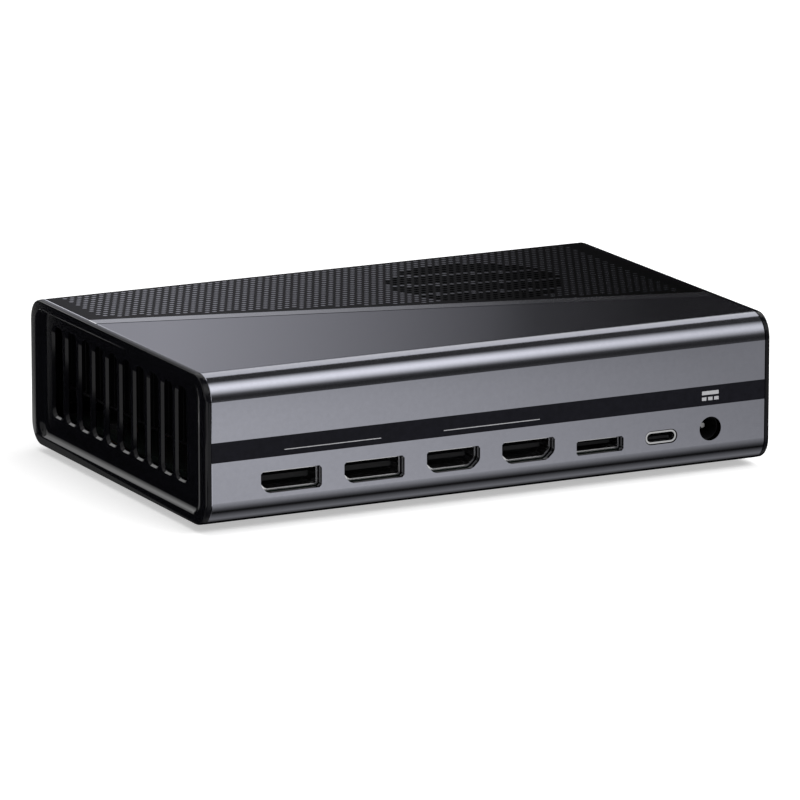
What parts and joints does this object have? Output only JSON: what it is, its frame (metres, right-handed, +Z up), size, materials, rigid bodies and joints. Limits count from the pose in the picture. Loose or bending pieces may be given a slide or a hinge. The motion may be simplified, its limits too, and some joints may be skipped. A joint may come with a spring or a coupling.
{
  "type": "external graphics card enclosure",
  "caption": "Low aluminium case with rounded long edges, slotted gloss black end caps, a dark top grille cut off by a diagonal trim strip, and a row of sockets in front.",
  "frame": {"origin": "under the middle of the case, on the surface that the feet stand on", "axes": "+X along the length towards the power jack end, +Y towards the rear, +Z up; the sockets face -Y"},
  "size_m": [0.162, 0.108, 0.041],
  "materials": {
    "sleeve_anodised": "fine blasted and anodised grey",
    "grille_dark": "satin dark grey",
    "trim_polished": "polished",
    "band_black": "semi gloss black",
    "cap_black": "gloss black",
    "foot_rubber": "matt black",
    "socket_metal": "plated sheet",
    "insulator_black": "moulded black",
    "pin_plated": "plated",
    "board_green": "coated laminate",
    "spacer_brass": "turned",
    "screw_steel": "zinc plated",
    "die_grey": "bare silicon",
    "chip_black": "moulded black",
    "pad_grey": "soft pad",
    "inductor_grey": "pressed core",
    "capacitor_body": "moulded block",
    "header_white": "moulded off-white",
    "copper_bare": "bare copper",
    "fin_aluminium": "rolled sheet",
    "blower_black": "moulded black",
    "gasket_foam": "closed foam",
    "stator_steel": "laminated and varnished",
    "shaft_steel": "ground"
  },
  "bodies": {
    "enclosure": {"sleeve": "sleeve_anodised", "top_grille": "grille_dark", "grille_trim": "trim_polished", "front_band": "band_black", "left_end_cap": "cap_black", "right_end_cap": "cap_black", "foot_front_left": "foot_rubber", "foot_rear_left": "foot_rubber", "foot_front_right": "foot_rubber", "foot_rear_right": "foot_rubber", "wide_display_shell_1": "socket_metal", "wide_display_shell_2": "socket_metal", "wide_display_tongue_1": "insulator_black", "wide_display_tongue_2": "insulator_black", "video_shell_1": "socket_metal", "video_shell_2": "socket_metal", "video_tongue_1": "insulator_black", "video_tongue_2": "insulator_black", "link_shell": "socket_metal", "link_tongue": "insulator_black", "reversible_shell": "socket_metal", "reversible_tongue": "insulator_black", "jack_housing": "insulator_black", "jack_pin": "pin_plated", "graphics_board": "board_green", "board_standoffs": "spacer_brass", "board_screws": "screw_steel", "processor_package": "board_green", "processor_die": "die_grey", "memory_chips": "chip_black", "thermal_pads": "pad_grey", "power_inductors": "inductor_grey", "power_stages": "chip_black", "power_capacitors": "capacitor_body", "fan_header": "header_white", "cold_plate": "copper_bare", "cold_plate_collars": "spacer_brass", "cold_plate_screws": "screw_steel", "heat_pipe_rear": "copper_bare", "heat_pipe_middle": "copper_bare", "heat_pipe_front": "copper_bare", "fin_stack": "fin_aluminium", "blower_housing": "blower_black", "blower_posts": "spacer_brass", "blower_screws": "screw_steel", "blower_cover": "blower_black", "intake_gasket": "gasket_foam", "bearing_tube": "spacer_brass", "stator": "stator_steel"},
    "rotor": {"blower_rotor": "blower_black", "rotor_shaft": "shaft_steel"}
  },
  "joints": [
    {"name": "rotor_spin", "type": "hinge", "parent": "enclosure", "child": "rotor", "pos_m": [0.031, 0.0155, 0.025], "axis": [0, 0, 1], "continuous": true}
  ]
}
